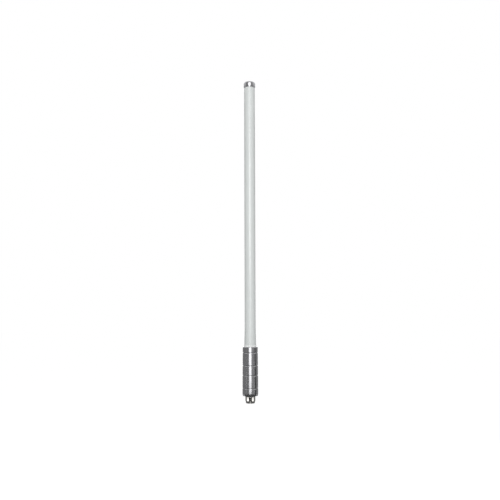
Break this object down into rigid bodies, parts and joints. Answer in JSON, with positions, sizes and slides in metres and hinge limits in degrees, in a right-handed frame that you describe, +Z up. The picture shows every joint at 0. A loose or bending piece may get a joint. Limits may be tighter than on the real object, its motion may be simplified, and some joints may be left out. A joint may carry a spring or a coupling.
{
  "type": "omnidirectional antenna",
  "caption": "Slim upright omnidirectional antenna: white radome tube on a ring-grooved metal base, with a metal end cap and an N-type plug whose coupling nut turns.",
  "frame": {"origin": "centre of the coupling nut's mouth, the antenna's lowest point", "axes": "+Z up along the antenna, from the plug to the cap; -Y towards the picture's camera"},
  "size_m": [0.03, 0.03, 0.6183],
  "materials": {
    "turned_metal": "turned, satin",
    "nickel_plate": "polished",
    "gold_plate": "polished",
    "brass": "satin",
    "copper": "satin",
    "spring_steel": "satin",
    "white_fibreglass": "satin gel coat",
    "white_sealant": "satin",
    "white_plastic": "waxy",
    "grey_foam": "open foam",
    "black_rubber": "matte",
    "red_silicone": "satin"
  },
  "bodies": {
    "antenna": {"nut_snap_ring": "spring_steel", "plug_body": "nickel_plate", "plug_o_ring": "black_rubber", "jack_gasket": "red_silicone", "contact_sleeve": "gold_plate", "plug_insulator": "white_plastic", "centre_pin": "gold_plate", "lock_washer": "spring_steel", "plug_rear_nut": "nickel_plate", "base_housing": "turned_metal", "radome_tube": "white_fibreglass", "tube_seat_ring": "black_rubber", "lower_tube_o_ring": "black_rubber", "upper_tube_o_ring": "black_rubber", "sealing_bead": "white_sealant", "top_cap": "turned_metal", "cap_o_ring": "black_rubber", "feed_coax": "copper", "coax_ferrule": "brass", "decoupling_sleeve": "brass", "sleeve_bottom_spacer": "white_plastic", "sleeve_top_disc": "brass", "feed_insulator": "white_plastic", "phasing_coil": "copper", "coil_former": "white_plastic", "lower_coil_ferrule": "brass", "upper_coil_ferrule": "brass", "lower_radiator": "copper", "upper_radiator": "copper", "lower_spacer": "grey_foam", "middle_spacer": "grey_foam", "upper_spacer": "grey_foam", "top_damper": "grey_foam"},
    "nut": {"coupling_nut": "nickel_plate"}
  },
  "joints": [
    {"name": "nut_spin", "type": "hinge", "parent": "antenna", "child": "nut", "pos_m": [0, 0, 0.007], "axis": [0, 0, 1], "continuous": true}
  ]
}
